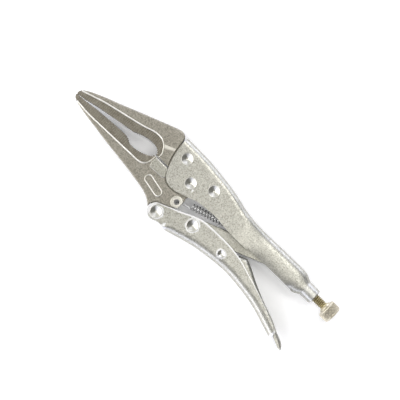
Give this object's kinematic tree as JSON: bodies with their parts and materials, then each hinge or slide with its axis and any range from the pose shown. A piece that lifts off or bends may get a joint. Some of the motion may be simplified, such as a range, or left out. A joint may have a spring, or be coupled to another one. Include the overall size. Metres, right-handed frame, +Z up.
{
  "type": "locking pliers",
  "caption": "Long-nose locking pliers with a toggle-locked lower jaw, channel handles, release lever, return spring and knurled adjusting screw.",
  "frame": {"origin": "centre of the bounding box's footprint, on the surface that the tool lies on", "axes": "+X along the adjusting screw, from the jaws to the knob; +Y from the lower handle to the upper handle; +Z up through the thickness, as the tool lies on its side"},
  "size_m": [0.2272, 0.061, 0.015],
  "materials": {
    "handle_steel": "satin nickel plate over pressed sheet",
    "jaw_steel": "satin nickel plate over a forging",
    "screw_zinc": "yellow zinc plate",
    "knob_zinc": "dull zinc plate, knurled",
    "spring_steel": "bright wire"
  },
  "bodies": {
    "upper_body": {"upper_handle": "handle_steel", "fixed_jaw": "jaw_steel", "front_jaw_rivet": "handle_steel", "rear_jaw_rivet": "handle_steel", "jaw_pivot_rivet": "handle_steel", "return_spring": "spring_steel"},
    "jaw_body": {"moving_jaw": "jaw_steel"},
    "lower_body": {"lower_handle": "handle_steel", "handle_pivot_rivet": "handle_steel", "link_pivot_rivet": "handle_steel", "lever_pivot_rivet": "handle_steel"},
    "link_body": {"toggle_link": "handle_steel"},
    "lever_body": {"release_lever": "handle_steel"},
    "screw_body": {"adjusting_screw": "screw_zinc"},
    "knob_body": {"adjusting_knob": "knob_zinc"}
  },
  "joints": [
    {"name": "jaw_open", "type": "hinge", "parent": "upper_body", "child": "jaw_body", "pos_m": [-0.0167, 0.00929, 0.0075], "axis": [0, 0, 1], "range_deg": [0, 22], "deforming": ["return_spring"]},
    {"name": "handle_swing", "type": "hinge", "parent": "jaw_body", "child": "lower_body", "pos_m": [-0.0204, -0.02031, 0.0075], "axis": [0, 0, 1], "range_deg": [-66.5, 0]},
    {"name": "link_swing", "type": "hinge", "parent": "upper_body", "child": "link_body", "pos_m": [0.0603, 0.01199, 0.0075], "axis": [0, 0, 1], "range_deg": [0, 21.2]},
    {"name": "lever_squeeze", "type": "hinge", "parent": "lower_body", "child": "lever_body", "pos_m": [0.0305, -0.01041, 0.0075], "axis": [0, 0, 1], "range_deg": [0, 3]},
    {"name": "screw_advance", "type": "slide", "parent": "upper_body", "child": "screw_body", "axis": [1, 0, 0], "range_m": [0, 0.01401]},
    {"name": "knob_turn", "type": "hinge", "parent": "screw_body", "child": "knob_body", "pos_m": [0.1046, 0.01199, 0.0075], "axis": [1, 0, 0], "range_deg": [0, 3960]}
  ],
  "couplings": [
    {"joint": "handle_swing", "follows": "jaw_open", "ratio": -3.0083},
    {"joint": "link_swing", "follows": "jaw_open", "ratio": 0.95402},
    {"joint": "screw_advance", "follows": "knob_turn", "m_per_rad": 0.00020213}
  ]
}
